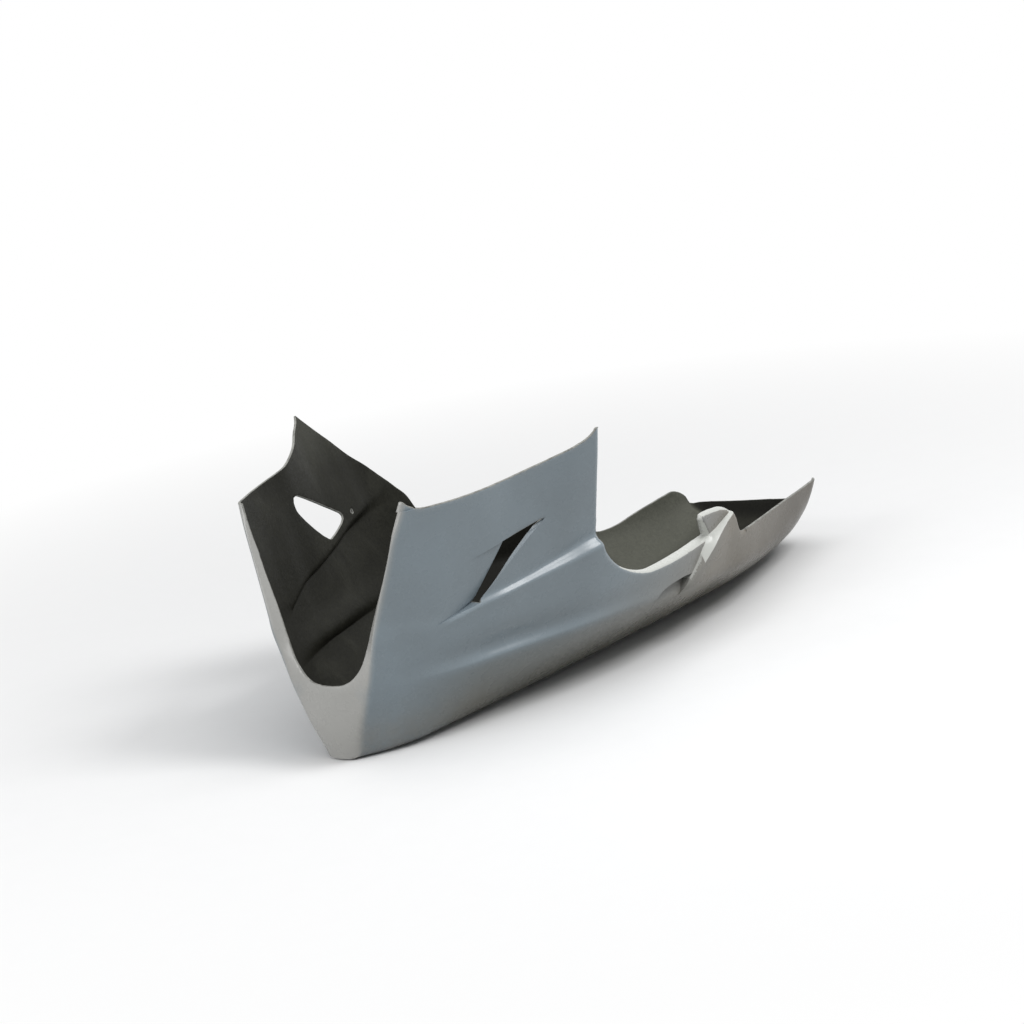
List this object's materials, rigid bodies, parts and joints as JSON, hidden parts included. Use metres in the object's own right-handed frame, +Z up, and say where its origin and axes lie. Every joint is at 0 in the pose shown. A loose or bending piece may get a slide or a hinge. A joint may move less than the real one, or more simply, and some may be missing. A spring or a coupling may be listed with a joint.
{
  "type": "motorbike lower fairing",
  "caption": "Belly-pan fairing for a sports motorbike: a thin moulded shell with a V-shaped front opening, louvred sides and a closed swept-up tail.",
  "frame": {"origin": "on the ground plane under the middle of the part, with the flat keel at Z = 0", "axes": "+X points forward along the motorbike, +Y to the rider's left, +Z up"},
  "size_m": [0.7886, 0.4454, 0.306],
  "materials": {
    "laminate": "satin grey gel-coat outside, bare dark laminate inside"
  },
  "bodies": {
    "root": {"fairing_shell": "laminate"}
  },
  "joints": []
}
